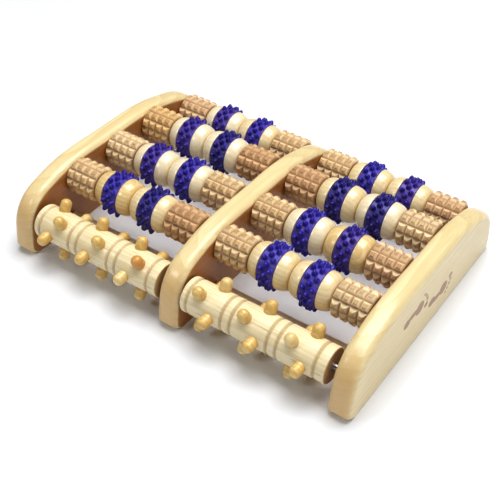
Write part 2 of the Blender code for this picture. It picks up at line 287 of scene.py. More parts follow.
@dataclass(frozen=True)
class WoodFinish:
    """Pale diffuse-porous hardwood, turned or planed, sanded and clear lacquered.

    The eye gets long soft growth bands, fine fibres along the grain, darker end grain and a low sheen.
    """

    name: str
    early: str                      # wood that grew in spring
    late: str                       # the darker line that ends each year
    end: str                        # end grain, which soaks up more lacquer
    grain: Grain = Grain.Z
    year_mm: float = 4.0            # width of one year's growth
    fibre_mm: float = 0.9           # real fibres are near 0.2 mm and wouldn't show, so they are drawn coarser
    streak: float = 0.045           # how far the pattern is drawn out along the grain
    pith_mm: float = 60.0           # how far from the piece the tree's centre lay
    pith_spread_mm: float = 12.0
    cut_spread_mm: float = 40.0     # how far apart in the tree the pieces were cut
    figure: float = 0.45            # share of the growth bands in the pattern, against the fibres
    roughness: tuple[float, float] = (0.34, 0.46)
    coat: float = 0.25
    coat_roughness: float = 0.18
    relief_mm: float = 0.05         # height of the raised fibres
    flecks: float = 0.0             # share of dark in the short flecks along the grain
    fleck_tone: str = "#8F6B3C"
    # colours by distance from the axis: a cut's own tone or painted shade
    depths: tuple[Depth, ...] = ()
    mark: FootMark | None = None
    # faces that get painted shade, where the bay around them keeps the light off
    bay: BayFaces | None = None
    bay_painted_shade: str = "#C08E62"       # painted shade: multiplies the wood on the faces towards a bay

    def material(self, piece: str, seed: int) -> bpy.types.Material:
        """Make this finish for one piece, cut from its own place in the tree.

        Args:
            piece: The piece's name.
            seed: Chooses the place that the piece was cut from.

        Returns:
            The new material.
        """
        material, tree, output = new_material(f"{self.name}__{piece}")
        draw = Random(seed)
        coords = add_node(tree, "ShaderNodeTexCoord")
        cut = [draw.uniform(-self.cut_spread_mm, self.cut_spread_mm) for _ in range(3)]
        across = (self.grain.value + 1) % 3
        cut[across] = self.pith_mm + draw.uniform(-self.pith_spread_mm, self.pith_spread_mm)
        drawn = add_node(
            tree,
            "ShaderNodeMapping",
            {"Location": cut, "Scale": self.grain.vector(MM_PER_M * self.streak, MM_PER_M)},
            {"Vector": coords.outputs["Object"]},
        ).outputs["Vector"]
        years = add_node(
            tree,
            "ShaderNodeTexWave",
            {
                "wave_type": "RINGS",
                "rings_direction": self.grain.name,
                "wave_profile": "SAW",
                "Scale": WAVE_PERIOD / self.year_mm,
                "Distortion": 3.0,
                "Detail": 2.0,
                "Detail Scale": 0.6,
            },
            {"Vector": drawn},
        )
        fibres = add_node(
            tree,
            "ShaderNodeTexNoise",
            {"Scale": 1.0 / self.fibre_mm, "Detail": 4.0, "Roughness": 0.62},
            {"Vector": drawn},
        )
        pattern = add_node(
            tree,
            "ShaderNodeMix",
            {"data_type": "FLOAT", MIX_FACTOR: self.figure},
            {2: fibres.outputs["Fac"], 3: years.outputs["Fac"]},
        ).outputs[0]
        colour = add_node(
            tree,
            "ShaderNodeValToRGB",
            {"stops": [(0.30, self.early), (0.74, self.late)]},
            {"Fac": pattern},
        ).outputs["Color"]
        colour = self._mottled(tree, coords, colour)
        colour = self._end_grain(tree, coords, colour)
        if self.flecks:
            colour = self._flecked(tree, coords, colour)
        # painted shade on the faces that look into a bay
        if self.bay:
            colour = self._painted_bay_shade(tree, coords, colour, self.bay)
        # a cut's own tone, or painted shade low in the grooves and at the roots
        for depth in self.depths:
            colour = blend(tree, depth_share(tree, coords, depth), colour, depth.colour)
        if self.mark:
            colour = blend(tree, self.mark.share(tree, coords), colour, self.mark.scorch)
        rough = add_node(
            tree,
            "ShaderNodeMapRange",
            {"To Min": self.roughness[0], "To Max": self.roughness[1]},
            {"Value": fibres.outputs["Fac"]},
        )
        relief = add_node(
            tree,
            "ShaderNodeBump",
            {"Strength": 0.5, "Distance": self.relief_mm * MM},
            {"Height": pattern},
        )
        shader = add_node(
            tree,
            "ShaderNodeBsdfPrincipled",
            {"IOR": 1.5, "Coat Weight": self.coat, "Coat Roughness": self.coat_roughness},
            {"Base Color": colour, "Roughness": rough.outputs["Result"], "Normal": relief.outputs["Normal"]},
        )
        tree.links.new(shader.outputs["BSDF"], output.inputs["Surface"])
        return material

    def _mottled(
        self, tree: bpy.types.NodeTree, coords: bpy.types.Node, colour: bpy.types.NodeSocket
    ) -> bpy.types.NodeSocket:
        """Add broad, faint patches of the late wood's tone.

        Args:
            tree: The node tree.
            coords: The texture coordinates.
            colour: The colour so far.

        Returns:
            The mottled colour.
        """
        patches = add_node(
            tree,
            "ShaderNodeTexNoise",
            {"Scale": 0.045 * MM_PER_M, "Detail": 2.0, "Distortion": 0.4},
            {"Vector": coords.outputs["Object"]},
        )
        share = add_node(
            tree,
            "ShaderNodeMapRange",
            {"From Min": 0.42, "From Max": 0.72, "To Max": 0.35},
            {"Value": patches.outputs["Fac"]},
        )
        return blend(tree, share.outputs["Result"], colour, self.late)

    def _end_grain(
        self, tree: bpy.types.NodeTree, coords: bpy.types.Node, colour: bpy.types.NodeSocket
    ) -> bpy.types.NodeSocket:
        """Darken the faces that cut across the grain.

        Args:
            tree: The node tree.
            coords: The texture coordinates.
            colour: The colour so far.

        Returns:
            The colour with its end grain.
        """
        facing = add_node(
            tree,
            "ShaderNodeVectorMath",
            {"operation": "DOT_PRODUCT", 1: self.grain.vector(1.0, 0.0)},
            {0: coords.outputs["Normal"]},
        )
        size = add_node(tree, "ShaderNodeMath", {"operation": "ABSOLUTE"}, {0: facing.outputs["Value"]})
        share = add_node(
            tree,
            "ShaderNodeMapRange",
            {"interpolation_type": "SMOOTHSTEP", "From Min": 0.25, "From Max": 1.0, "To Max": 0.75},
            {"Value": size.outputs["Value"]},
        )
        return blend(tree, share.outputs["Result"], colour, self.end)

    def _flecked(
        self, tree: bpy.types.NodeTree, coords: bpy.types.Node, colour: bpy.types.NodeSocket
    ) -> bpy.types.NodeSocket:
        """Add short, thin dark flecks along the grain.

        Args:
            tree: The node tree.
            coords: The texture coordinates.
            colour: The colour so far.

        Returns:
            The colour with its flecks.
        """
        drawn = add_node(
            tree,
            "ShaderNodeMapping",
            {"Scale": self.grain.vector(0.07 * MM_PER_M, 0.8 * MM_PER_M)},
            {"Vector": coords.outputs["Object"]},
        )
        spots = add_node(
            tree, "ShaderNodeTexNoise", {"Scale": 1.0, "Detail": 1.0}, {"Vector": drawn.outputs["Vector"]}
        )
        share = add_node(
            tree,
            "ShaderNodeMapRange",
            {"From Min": 0.66, "From Max": 0.76, "To Max": self.flecks},
            {"Value": spots.outputs["Fac"]},
        )
        return blend(tree, share.outputs["Result"], colour, self.fleck_tone)

    def _painted_bay_shade(
        self,
        tree: bpy.types.NodeTree,
        coords: bpy.types.Node,
        colour: bpy.types.NodeSocket,
        bay: BayFaces,
    ) -> bpy.types.NodeSocket:
        """Darken the faces that look into a bay with painted shade, where the rollers and the boards around
        them keep the light off.

        Args:
            tree: The node tree.
            coords: The texture coordinates.
            colour: The colour so far.
            bay: The faces that it happens to.

        Returns:
            The toned colour.
        """
        along = add_node(
            tree,
            "ShaderNodeVectorMath",
            {"operation": "DOT_PRODUCT", 1: (-1.0 if bay is BayFaces.LOW else 1.0, 0.0, 0.0)},
            {0: coords.outputs["Normal"]},
        ).outputs["Value"]
        if bay is BayFaces.BOTH:
            along = add_node(tree, "ShaderNodeMath", {"operation": "ABSOLUTE"}, {0: along}).outputs["Value"]
        share = add_node(
            tree,
            "ShaderNodeMapRange",
            {"interpolation_type": "SMOOTHSTEP", "From Min": 0.88, "From Max": 0.99},
            {"Value": along},
        )
        return blend(tree, share.outputs["Result"], colour, self.bay_painted_shade, "MULTIPLY")


def depth_share(
    tree: bpy.types.NodeTree, coords: bpy.types.Node, depth: Depth
) -> bpy.types.NodeSocket:
    """Measure how deep a point of a turned piece lies.

    Args:
        tree: The node tree.
        coords: The texture coordinates, with the piece's axis along local Z.
        depth: The distances between which the share falls to 0.

    Returns:
        The share of the deep colour.
    """
    flat = add_node(
        tree,
        "ShaderNodeVectorMath",
        {"operation": "MULTIPLY", 1: (MM_PER_M, MM_PER_M, 0.0)},
        {0: coords.outputs["Object"]},
    )
    radius = add_node(tree, "ShaderNodeVectorMath", {"operation": "LENGTH"}, {0: flat.outputs["Vector"]})
    share = add_node(
        tree,
        "ShaderNodeMapRange",
        {
            "From Min": depth.deep_mm,
            "From Max": depth.clear_mm,
            "To Min": depth.share,
            "To Max": 0.0,
        },
        {"Value": radius.outputs["Value"]},
    )
    return share.outputs["Result"]


@dataclass(frozen=True)
class RubberFinish:
    """Moulded soft PVC rubber, dyed in the mass.

    The eye gets a deep even dye, a satin gloss from the mould, and a paler painted sheen down between the
    spikes.
    """

    name: str
    dye: str
    shade: str                      # slightly uneven dye
    # painted sheen: paler base between the spikes, standing in for its glancing reflection
    painted_sheen: Depth
    roughness: tuple[float, float] = (0.30, 0.44)
    texture_mm: float = 0.5         # the mould's own texture is finer and wouldn't show

    def material(self, piece: str, seed: int) -> bpy.types.Material:
        """Make this finish for one ring.

        Args:
            piece: The piece's name.
            seed: Shifts the pattern.

        Returns:
            The new material.
        """
        material, tree, output = new_material(f"{self.name}__{piece}")
        coords = add_node(tree, "ShaderNodeTexCoord")
        placed = add_node(
            tree,
            "ShaderNodeMapping",
            {"Location": (seed * 7.0, seed * 3.0, 0.0), "Scale": (MM_PER_M,) * 3},
            {"Vector": coords.outputs["Object"]},
        ).outputs["Vector"]
        cloudy = add_node(
            tree, "ShaderNodeTexNoise", {"Scale": 0.16, "Detail": 3.0}, {"Vector": placed}
        )
        colour = add_node(
            tree,
            "ShaderNodeValToRGB",
            {"stops": [(0.35, self.dye), (0.70, self.shade)]},
            {"Fac": cloudy.outputs["Fac"]},
        ).outputs["Color"]
        # painted sheen on the base between the spikes
        colour = blend(tree, depth_share(tree, coords, self.painted_sheen), colour, self.painted_sheen.colour)
        skin = add_node(
            tree,
            "ShaderNodeTexNoise",
            {"Scale": 1.0 / self.texture_mm, "Detail": 2.0},
            {"Vector": placed},
        )
        rough = add_node(
            tree,
            "ShaderNodeMapRange",
            {"To Min": self.roughness[0], "To Max": self.roughness[1]},
            {"Value": cloudy.outputs["Fac"]},
        )
        relief = add_node(
            tree,
            "ShaderNodeBump",
            {"Strength": 0.35, "Distance": 0.06 * MM},
            {"Height": skin.outputs["Fac"]},
        )
        shader = add_node(
            tree,
            "ShaderNodeBsdfPrincipled",
            {"IOR": 1.52},
            {"Base Color": colour, "Roughness": rough.outputs["Result"], "Normal": relief.outputs["Normal"]},
        )
        tree.links.new(shader.outputs["BSDF"], output.inputs["Surface"])
        return material


@dataclass(frozen=True)
class SteelFinish:
    """Cold-drawn bright steel rod: a grey mirror broken by fine draw lines along its length."""

    name: str = "bright_drawn_steel"
    bright: str = "#C9CACC"
    dull: str = "#9FA1A4"
    line_mm: float = 0.35           # draw lines, coarser than real so that they show

    def material(self, piece: str) -> bpy.types.Material:
        """Make this finish for one rod, whose length is along X.

        Args:
            piece: The piece's name.

        Returns:
            The new material.
        """
        material, tree, output = new_material(f"{self.name}__{piece}")
        coords = add_node(tree, "ShaderNodeTexCoord")
        drawn = add_node(
            tree,
            "ShaderNodeMapping",
            {"Scale": (0.03 * MM_PER_M, MM_PER_M, MM_PER_M)},
            {"Vector": coords.outputs["Object"]},
        )
        lines = add_node(
            tree,
            "ShaderNodeTexNoise",
            {"Scale": 1.0 / self.line_mm, "Detail": 3.0},
            {"Vector": drawn.outputs["Vector"]},
        ).outputs["Fac"]
        colour = add_node(
            tree,
            "ShaderNodeValToRGB",
            {"stops": [(0.3, self.dull), (0.7, self.bright)]},
            {"Fac": lines},
        )
        rough = add_node(tree, "ShaderNodeMapRange", {"To Min": 0.2, "To Max": 0.38}, {"Value": lines})
        relief = add_node(
            tree, "ShaderNodeBump", {"Strength": 0.3, "Distance": 0.02 * MM}, {"Height": lines}
        )
        shader = add_node(
            tree,
            "ShaderNodeBsdfPrincipled",
            {"Metallic": 1.0},
            {
                "Base Color": colour.outputs["Color"],
                "Roughness": rough.outputs["Result"],
                "Normal": relief.outputs["Normal"],
            },
        )
        tree.links.new(shader.outputs["BSDF"], output.inputs["Surface"])
        return material


@dataclass(frozen=True)
class BackdropFinish:
    """Matt white laminate sweep: even, almost without sheen, with a trace of paper texture."""

    name: str = "matt_white_sweep"
    white: str = "#F2F4F8"
    tone: str = "#EFF1F6"

    def material(self) -> bpy.types.Material:
        """Make this finish.

        Returns:
            The new material.
        """
        material, tree, output = new_material(self.name)
        coords = add_node(tree, "ShaderNodeTexCoord")
        paper = add_node(
            tree,
            "ShaderNodeTexNoise",
            {"Scale": 12.0, "Detail": 3.0},
            {"Vector": coords.outputs["Object"]},
        ).outputs["Fac"]
        colour = add_node(
            tree,
            "ShaderNodeValToRGB",
            {"stops": [(0.3, self.tone), (0.7, self.white)]},
            {"Fac": paper},
        )
        shader = add_node(
            tree,
            "ShaderNodeBsdfPrincipled",
            {"Roughness": 0.9, "Specular IOR Level": 0.2},
            {"Base Color": colour.outputs["Color"]},
        )
        tree.links.new(shader.outputs["BSDF"], output.inputs["Surface"])
        return material


BOARD_WOOD = WoodFinish(
    name="planed_lacquered_schima_board",
    early="#F1E2B4",
    late="#E3CA95",
    end="#DBB375",
    grain=Grain.Y,
    year_mm=5.5,
    fibre_mm=1.1,
    streak=0.02,
    figure=0.25,
    roughness=(0.32, 0.42),
    coat=0.35,
)
RAIL_WOOD = WoodFinish(
    name="sawn_lacquered_schima_rail",
    early="#FFF1DA",
    late="#F6DDBC",
    end="#E2BA90",
    grain=Grain.X,
    year_mm=3.5,
    coat=0.1,
    roughness=(0.42, 0.55),
)
DOWEL_WOOD = WoodFinish(
    name="turned_lacquered_birch_dowel",
    early="#F8EDCB",
    late="#EBD7A6",
    end="#B88A58",
    year_mm=2.6,
    fibre_mm=0.8,
    streak=0.035,
    pith_mm=22.0,
    figure=0.35,
    roughness=(0.38, 0.52),
    coat=0.12,
    flecks=0.4,
    # painted shade: darker down in the grooves
    depths=(Depth("#A98A58", 11.9, 12.95, 0.5),),
)


class BeechTone(Enum):
    """A knurled roller's steamed beech: early and late wood of its old turned skin, and its fresh cuts."""

    TAN = ("#D6B687", "#BC9766", "#ECD3A8")
    PALE = ("#DCC094", "#C5A574", "#F0DBB4")
    ROSE = ("#D5B086", "#BB9066", "#E8CCA4")
    GOLDEN = ("#D8B176", "#BF9258", "#E9CA94")
    DARK = ("#C69F74", "#A87C52", "#DDBB90")

    def finish(self) -> WoodFinish:
        """Describe the raw beech of this tone, paler where it was cut, with painted shade browning the
        bottoms of the grooves.

        Returns:
            The finish.
        """
        early, late, cut = self.value
        return WoodFinish(
            name=f"knurled_steamed_beech_{self.name.lower()}",
            early=early,
            late=late,
            end=late,
            year_mm=3.0,
            fibre_mm=0.8,
            pith_mm=25.0,
            roughness=(0.48, 0.62),
            coat=0.08,
            relief_mm=0.08,
            # the pale cut is the fresh wood's own tone; the brown is painted shade at the groove bottoms
            depths=(Depth(cut, 12.9, 13.95, 0.9), Depth("#8E5C36", 10.9, 12.3, 0.7)),
        )


class CoreTone(Enum):
    """How yellow a wheel's lacquered core is: early wood, late wood."""

    IVORY = ("#F8EDD2", "#EEDDB6")
    CREAM = ("#F5E6C0", "#E9D09C")
    STRAW = ("#F2DDAA", "#E3C284")
    TAN = ("#EBD3A8", "#D6B482")

    def finish(self) -> WoodFinish:
        """Describe the glossy turned maple of this tone, with fine pale fibres.

        Returns:
            The finish.
        """
        early, late = self.value
        return WoodFinish(
            name=f"turned_glossy_maple_{self.name.lower()}",
            early=early,
            late=late,
            end=late,
            year_mm=3.2,
            fibre_mm=0.7,
            pith_mm=20.0,
            figure=0.4,
            roughness=(0.24, 0.34),
            coat=0.5,
            coat_roughness=0.12,
            relief_mm=0.02,
        )


class DyeTone(Enum):
    """How blue or violet a ring came out: dye, uneven dye, painted sheen between the spikes."""

    BLUE = ("#241990", "#2E20A0", "#5A4CB0")
    VIOLET = ("#2B1886", "#362094", "#6450A8")
    DEEP = ("#1C1470", "#251A7C", "#483C96")

    def finish(self) -> RubberFinish:
        """Describe the moulded rubber of this dye.

        Returns:
            The finish.
        """
        dye, shade, painted_sheen = self.value
        return RubberFinish(
            name=f"moulded_rubber_{self.name.lower()}",
            dye=dye,
            shade=shade,
            # painted sheen on the ring's base
            painted_sheen=Depth(painted_sheen, 14.2, 15.2, 0.75),
        )


class PegTone(Enum):
    """Tone of a glued-in peg: early wood, late wood."""

    HONEY = ("#EBD08C", "#D6AE62")
    PALE = ("#F0DDA6", "#E0C07E")
    AMBER = ("#E2B066", "#CC8F42")

    def finish(self) -> WoodFinish:
        """Describe the tumbled beech of this tone, waxed smooth, with painted shade towards its root.

        Returns:
            The finish.
        """
        early, late = self.value
        return WoodFinish(
            name=f"tumbled_waxed_beech_{self.name.lower()}",
            early=early,
            late=late,
            end=late,
            year_mm=3.0,
            fibre_mm=0.8,
            streak=0.3,
            pith_mm=25.0,
            roughness=(0.30, 0.42),
            coat=0.25,
            relief_mm=0.02,
            # painted shade: darker towards the peg's root at the dowel
            depths=(Depth("#B4864A", 12.6, 15.0, 0.45),),
        )


# ---------------------------------------------------------------- mesh helpers


def add_object(name: str, data: bpy.types.ID, matrix: Matrix | None = None) -> bpy.types.Object:
    """Put a mesh or curve into the scene.

    Args:
        name: The object's name.
        data: Its mesh or curve.
        matrix: Its place in the scene, or None for the origin.

    Returns:
        The new object.
    """
    item = bpy.data.objects.new(name, data)
    bpy.context.scene.collection.objects.link(item)
    if matrix is not None:
        item.matrix_world = matrix
    return item


def evaluated_mesh(item: bpy.types.Object, name: str) -> bpy.types.Mesh:
    """Return an object's mesh with its modifiers applied, and remove the object.

    Args:
        item: The object to read.
        name: The new mesh's name.

    Returns:
        The mesh, in the object's own space.
    """
    bpy.context.view_layer.update()
    depsgraph = bpy.context.evaluated_depsgraph_get()
    mesh = bpy.data.meshes.new_from_object(item.evaluated_get(depsgraph))
    mesh.name = name
    bpy.data.objects.remove(item, do_unlink=True)
    return mesh


def mesh_of(shape: bmesh.types.BMesh, name: str) -> bpy.types.Mesh:
    """Turn a bmesh into a mesh with its faces looking outwards.

    Args:
        shape: The shape, which is freed.
        name: The new mesh's name.

    Returns:
        The mesh.
    """
    bmesh.ops.recalc_face_normals(shape, faces=shape.faces)
    mesh = bpy.data.meshes.new(name)
    shape.to_mesh(mesh)
    shape.free()
    return mesh


def shade_smooth(mesh: bpy.types.Mesh, sharp_deg: float = 32.0) -> bpy.types.Mesh:
    """Shade a mesh smooth except over its sharp edges.

    Args:
        mesh: The mesh.
        sharp_deg: Angle from which an edge counts as sharp.

    Returns:
        The same mesh.
    """
    mesh.shade_smooth()
    mesh.set_sharp_from_angle(angle=radians(sharp_deg))
    return mesh


def lathe(name: str, outline: Outline, steps: int, closed: bool = True) -> bpy.types.Mesh:
    """Turn an outline about Z.

    Args:
        name: The new mesh's name.
        outline: (radius, height) points in order.
        steps: Facets around the axis.
        closed: Whether the last point joins the first; otherwise both lie on the axis.

    Returns:
        The turned mesh.
    """
    shape = bmesh.new()
    points = [shape.verts.new((radius, 0.0, height)) for radius, height in outline]
    edges = [shape.edges.new(pair) for pair in zip(points, points[1:])]
    if closed:
        edges.append(shape.edges.new((points[-1], points[0])))
    bmesh.ops.spin(
        shape,
        geom=points + edges,
        axis=(0, 0, 1),
        cent=(0, 0, 0),
        angle=2 * pi,
        steps=steps,
        use_merge=True,
    )
    bmesh.ops.remove_doubles(shape, verts=shape.verts, dist=1e-6)
    return mesh_of(shape, name)


def arc(
    centre: tuple[float, float], radius: float, start_deg: float, end_deg: float, steps: int
) -> Outline:
    """Return points along an arc of an outline.

    Args:
        centre: (radius, height) of the arc's centre.
        radius: The arc's own radius.
        start_deg: Angle of the first point, from straight out towards up.
        end_deg: Angle of the last point.
        steps: Segments in the arc.

    Returns:
        (radius, height) points in order.
    """
    angles = [radians(start_deg + (end_deg - start_deg) * i / steps) for i in range(steps + 1)]
    return [(centre[0] + radius * cos(a), centre[1] + radius * sin(a)) for a in angles]


def turned_place(centre: Vector) -> Matrix:
    """Return the place of a piece turned about Z and laid along world X, from its middle."""
    return Matrix.Translation(centre) @ Matrix.Rotation(pi / 2, 4, "Y")


def spun(mesh: bpy.types.Mesh, angle: float) -> bpy.types.Mesh:
    """Copy a turned mesh and spin the copy about its own axis.

    Args:
        mesh: The mesh, about Z.
        angle: The turn in radians.

    Returns:
        The spun copy.
    """
    copy = mesh.copy()
    copy.transform(Matrix.Rotation(angle, 4, "Z"))
    return copy


def dress(piece: bpy.types.Object, *materials: bpy.types.Material) -> None:
    """Give a piece its materials on its own slots, so that pieces can share a mesh.

    Args:
        piece: The piece.
        materials: One material for each slot.
    """
    while len(piece.data.materials) < len(materials):
        piece.data.materials.append(None)
    for slot, material in zip(piece.material_slots, materials):
        slot.link = "OBJECT"
        slot.material = material


def mount(piece: bpy.types.Object, body: str, slot: str, *nodes: str) -> bpy.types.Object:
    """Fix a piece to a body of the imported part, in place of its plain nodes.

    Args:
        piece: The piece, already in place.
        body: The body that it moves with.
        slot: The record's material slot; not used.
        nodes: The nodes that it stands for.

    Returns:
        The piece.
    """
    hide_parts(*nodes)
    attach(piece, body)
    LOG.info("%s: %d faces, rides on %s", piece.name, len(piece.data.polygons), body)
    return piece


# ---------------------------------------------------------------- the fixed frame


@dataclass
class ArchedBoard:
    """One of the three standing boards, arched on top, with a bore for every rod."""

    side: str
    # faces of this board that get painted shade
    bay: BayFaces
    seed: int
    edge_round: float = 0.0055      # rounding of the arched edges
    corner_round: float = 0.0085    # rounding of the two lower corners, seen from the side
    corner_edge: float = 0.0050     # rounding of the edges beside those corners
    foot_edge: float = 0.0012       # eased edges of the foot
    full_round_at: float = 0.0200   # height from which the edges have their full rounding
    border: float = 0.0006          # flat strip that keeps a face's shading level right up to its rounding
    round_steps: int = 9
    curve_steps: int = 14
    corner_steps: int = 10
    foot_steps: int = 10
    # Outline (depth, height) from the front foot over the arch to the rear foot, about the board's middle
    outline: tuple[tuple[float, float], ...] = (
        (-0.1045, 0.0000),
        (-0.1050, 0.0120),
        (-0.0965, 0.0395),
        (-0.0740, 0.0520),
        (-0.0040, 0.0570),
        (0.0630, 0.0513),
        (0.0965, 0.0355),
        (0.1050, 0.0110),
        (0.1045, 0.0000),
    )
    mark: FootMark | None = None

    def build(self, bores: Sequence[bpy.types.Object]) -> bpy.types.Object:
        """Make the board and drill it.

        Args:
            bores: Solids of the rods' bores, in their places.

        Returns:
            The finished board.
        """
        node = f"board_{self.side}"
        low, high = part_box(node)
        middle = (low + high) / 2
        blank = self._blank(high.x - low.x)
        blank.materials.append(replace(BOARD_WOOD, bay=self.bay, mark=self.mark).material(node, self.seed))
        place = Matrix.Translation((middle.x, middle.y, 0))
        board = add_object(f"{node}_blank", blank, place)
        for bore in bores:
            cut = board.modifiers.new(bore.name, "BOOLEAN")
            cut.operation = "DIFFERENCE"
            cut.solver = "EXACT"
            cut.object = bore
        mesh = shade_smooth(evaluated_mesh(board, node))
        piece = add_object(f"arched_board_{self.side}", mesh, place)
        return mount(piece, "frame", "board_wood", node)

    def _blank(self, thickness: float) -> bpy.types.Mesh:
        """Shape the board with its rounded edges, before drilling.

        Args:
            thickness: The board's thickness, along X.

        Returns:
            The closed solid about the board's middle, standing on the floor.
        """
        places = self._places()
        shape = bmesh.new()
        # Each ring: how far in it lies, then how far in and how far from the face as shares of the rounding
        steps = [(self.border, 1.0, 0.0)]
        for i in range(self.round_steps + 1):
            angle = radians(90 - 90 * i / self.round_steps)
            steps.append((0.0, 1 - cos(angle), 1 - sin(angle)))
        rings = []
        for side, order in ((-1, steps), (1, steps[::-1])):
            for extra, inwards, back in order:
                ring = []
                for point, outward, radius in places:
                    inset = point - outward * (extra + radius * inwards)
                    x = side * (thickness / 2 - radius * back)
                    ring.append(shape.verts.new((x, inset.x, inset.y)))
                rings.append(ring)
        for this, following in zip(rings, rings[1:]):
            for i in range(len(places)):
                j = (i + 1) % len(places)
                shape.faces.new((this[i], this[j], following[j], following[i]))
        shape.faces.new(rings[0])
        shape.faces.new(rings[-1])
        return mesh_of(shape, f"board_{self.side}_blank")

    def _places(self) -> list[tuple[Vector, Vector, float]]:
        """Walk round the board's outline.

        Returns:
            For each place: its (depth, height), its outward direction, and the rounding of its edges.
        """
        arch = [point for point in self._arch() if point.y > self.corner_round]
        foot = self._corner(arch[0].x, 1.0)
        heel = self._corner(arch[-1].x, -1.0)
        places = list(foot)
        for i, point in enumerate(arch):
            before = arch[max(i - 1, 0)]
            after = arch[min(i + 1, len(arch) - 1)]
            along = (after - before).normalized()
            grown = min(1.0, (point.y - self.corner_round) / (self.full_round_at - self.corner_round))
            radius = self.corner_edge + (self.edge_round - self.corner_edge) * grown
            places.append((point, Vector((-along.y, along.x)), radius))
        places += reversed(heel)
        start, end = heel[0][0], foot[0][0]
        for i in range(1, self.foot_steps):
            point = start.lerp(end, i / self.foot_steps)
            places.append((point, Vector((0.0, -1.0)), self.foot_edge))
        return places

    def _arch(self) -> list[Vector]:
        """Smooth the outline's few points into a curve.

        Returns:
            Closely spaced points, from the front foot to the rear one.
        """
        curve = bpy.data.curves.new("board_outline", "CURVE")
        curve.dimensions = "3D"
        curve.resolution_u = self.curve_steps
        spline = curve.splines.new("BEZIER")
        spline.bezier_points.add(len(self.outline) - 1)
        spline.use_cyclic_u = True
        for point, place in zip(spline.bezier_points, self.outline):
            point.co = (*place, 0)
            kind = "VECTOR" if place[1] == 0 else "AUTO"
            point.handle_left_type = kind
            point.handle_right_type = kind
        mesh = evaluated_mesh(add_object("board_outline", curve), "board_outline")
        return [vertex.co.xy for vertex in mesh.vertices]

    def _corner(self, end: float, inwards: float) -> list[tuple[Vector, Vector, float]]:
        """Round one lower corner.

        Args:
            end: Depth of the board's end face there.
            inwards: 1 at the front end, -1 at the rear end.

        Returns:
            The places from the floor up to the end face.
        """
        centre = Vector((end + inwards * self.corner_round, self.corner_round))
        places = []
        for i in range(self.corner_steps + 1):
            share = i / self.corner_steps
            angle = radians(270 - 90 * share)
            outward = Vector((inwards * cos(angle), sin(angle)))
            radius = self.foot_edge + (self.corner_edge - self.foot_edge) * share
            places.append((centre + outward * self.corner_round, outward, radius))
        return places


@dataclass
class Rods:
    """The five steel rods, kept as packed, and the bores that they need."""

    rows: tuple[str, ...] = ("front", "a", "b", "c", "d")
    bore_sides: int = 32

    def dress(self) -> None:
        """Give every rod its drawn steel."""
        for row in self.rows:
            rod = bpy.data.objects[f"rod_{row}"]
            rod.material_slots[0].material = SteelFinish().material(rod.name)
            LOG.info("%s: kept as packed, in drawn steel", rod.name)

    def bores(self) -> list[bpy.types.Object]:
        """Make the solids that are drilled out of the boards.

        Returns:
            One cylinder for each rod, in its place.
        """
        solids = []
        for row in self.rows:
            low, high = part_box(f"rod_{row}")
            reach = (high.x - low.x) / 2 + CLEARANCE
            outline = [(0.0, -reach), (BORE_R, -reach), (BORE_R, reach), (0.0, reach)]
            mesh = lathe(f"bore_{row}", outline, self.bore_sides, closed=False)
            solids.append(add_object(f"bore_{row}", mesh, turned_place((low + high) / 2)))
        return solids


@dataclass
class Rail:
    """The flat strip behind a dowel, planed and with eased edges."""

    side: str
    seed: int
    ease: float = 0.0009
    ease_steps: int = 3

    def build(self) -> bpy.types.Object:
        """Make the rail.

        Returns:
            The finished rail.
        """
        node = f"rail_{self.side}"
        low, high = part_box(node)
        shape = bmesh.new()
        bmesh.ops.create_cube(shape, size=1.0)
        bmesh.ops.scale(shape, vec=high - low, verts=shape.verts)
        bmesh.ops.bevel(
            shape,
            geom=list(shape.edges),
            offset=self.ease,
            segments=self.ease_steps,
            profile=0.5,
            affect="EDGES",
        )
        mesh = shade_smooth(mesh_of(shape, node), 40.0)
        piece = add_object(f"planed_rail_{self.side}", mesh, Matrix.Translation((low + high) / 2))
        dress(piece, RAIL_WOOD.material(node, self.seed))
        return mount(piece, "frame", "rail_wood", node)


# ---------------------------------------------------------------- what turns on the rods


